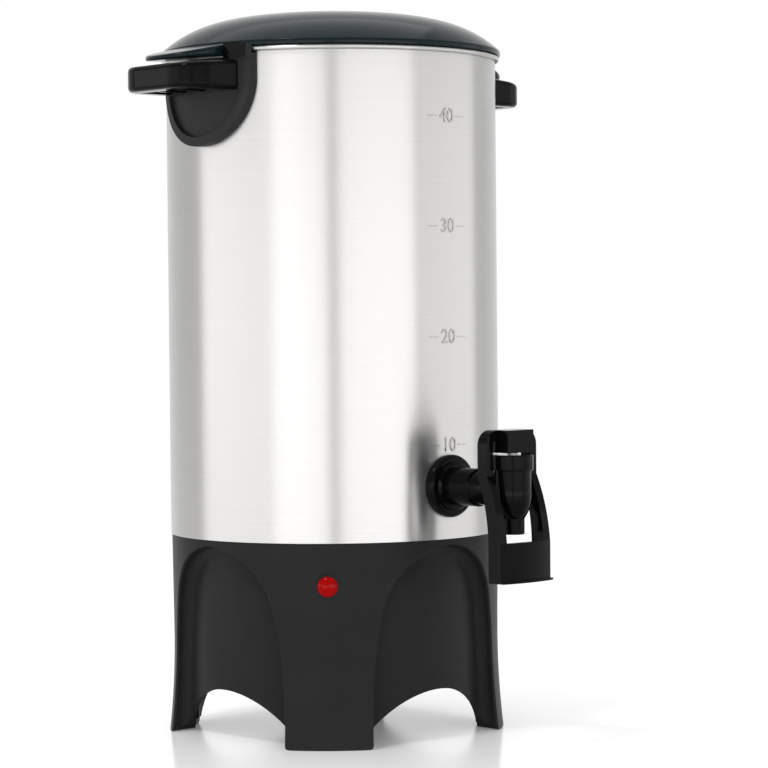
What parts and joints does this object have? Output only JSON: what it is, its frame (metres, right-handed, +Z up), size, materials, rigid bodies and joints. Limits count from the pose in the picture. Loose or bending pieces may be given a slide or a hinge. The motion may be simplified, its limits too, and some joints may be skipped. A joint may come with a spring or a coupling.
{
  "type": "coffee urn",
  "caption": "Percolating coffee urn: steel tank on an arched black base, domed lid with locking ears, side handles and a self-closing cup-push tap.",
  "frame": {"origin": "on the worktop at the tank's axis", "axes": "+Z up along the tank's axis; the tap points to -Y; the handles are on -X and +X"},
  "size_m": [0.252, 0.2418, 0.3893],
  "materials": {
    "tank_wall": "brushed stainless steel",
    "tank_bottom": "brushed stainless steel",
    "base_shell": "satin black moulded plastic",
    "base_cover": "satin black moulded plastic",
    "cover_screws": "plain bright metal",
    "centre_stud": "plain bright metal",
    "stud_nut": "plain bright metal",
    "heater_nut": "plain bright metal",
    "heater_ring": "cast heater ring",
    "heater_plate": "plain bright metal",
    "thermostat": "phenolic body",
    "pilot_lens": "clear red plastic lens",
    "pilot_lamp": "neon lamp in a glass envelope",
    "inlet_housing": "satin black moulded plastic",
    "inlet_pins": "plain brass",
    "right_handle": "glossy black moulded plastic",
    "left_handle": "glossy black moulded plastic",
    "handle_screws": "plain bright metal",
    "tap_body": "glossy black moulded plastic",
    "tap_flange": "glossy black moulded plastic",
    "tap_inner_gasket": "translucent white silicone",
    "tap_nut": "glossy black moulded plastic",
    "tap_bonnet": "glossy black moulded plastic",
    "seat_cup": "translucent white silicone",
    "tap_spring": "plain bright metal",
    "pump_tube": "brushed stainless steel",
    "pump_foot": "brushed stainless steel",
    "coffee_basket": "brushed stainless steel",
    "basket_cover": "brushed stainless steel",
    "lid_seal": "translucent white silicone",
    "lid_shell": "glossy black moulded plastic",
    "tap_stem": "plain bright metal",
    "lever_pin": "plain bright metal",
    "tap_lever": "glossy black moulded plastic"
  },
  "bodies": {
    "urn": {"tank_wall": "tank_wall", "tank_bottom": "tank_bottom", "base_shell": "base_shell", "base_cover": "base_cover", "cover_screws": "cover_screws", "centre_stud": "centre_stud", "stud_nut": "stud_nut", "heater_nut": "heater_nut", "heater_ring": "heater_ring", "heater_plate": "heater_plate", "thermostat": "thermostat", "pilot_lens": "pilot_lens", "pilot_lamp": "pilot_lamp", "inlet_housing": "inlet_housing", "inlet_pins": "inlet_pins", "right_handle": "right_handle", "left_handle": "left_handle", "handle_screws": "handle_screws", "tap_body": "tap_body", "tap_flange": "tap_flange", "tap_inner_gasket": "tap_inner_gasket", "tap_nut": "tap_nut", "tap_bonnet": "tap_bonnet", "seat_cup": "seat_cup", "tap_spring": "tap_spring", "pump_tube": "pump_tube", "pump_foot": "pump_foot", "coffee_basket": "coffee_basket", "basket_cover": "basket_cover"},
    "lid_ring": {"lid_seal": "lid_seal"},
    "lid": {"lid_shell": "lid_shell"},
    "tap_valve": {"tap_stem": "tap_stem", "lever_pin": "lever_pin"},
    "tap_handle": {"tap_lever": "tap_lever"}
  },
  "joints": [
    {"name": "lid_lift", "type": "slide", "parent": "urn", "child": "lid_ring", "axis": [0, 0, 1], "range_m": [0, 0.12]},
    {"name": "lid_twist", "type": "hinge", "parent": "lid_ring", "child": "lid", "pos_m": [0, 0, 0.366], "axis": [0, 0, 1], "range_deg": [-24, 0]},
    {"name": "stem_lift", "type": "slide", "parent": "urn", "child": "tap_valve", "axis": [0, 0, 1], "range_m": [0, 0.003], "deforming": ["tap_spring", "seat_cup"]},
    {"name": "lever_swing", "type": "hinge", "parent": "tap_valve", "child": "tap_handle", "pos_m": [0, -0.136, 0.16], "axis": [1, 0, 0], "range_deg": [0, 20], "stiffness_Nm_per_rad": 0.26}
  ],
  "couplings": [
    {"joint": "stem_lift", "follows": "lever_swing", "m_per_rad": 0.0085}
  ]
}
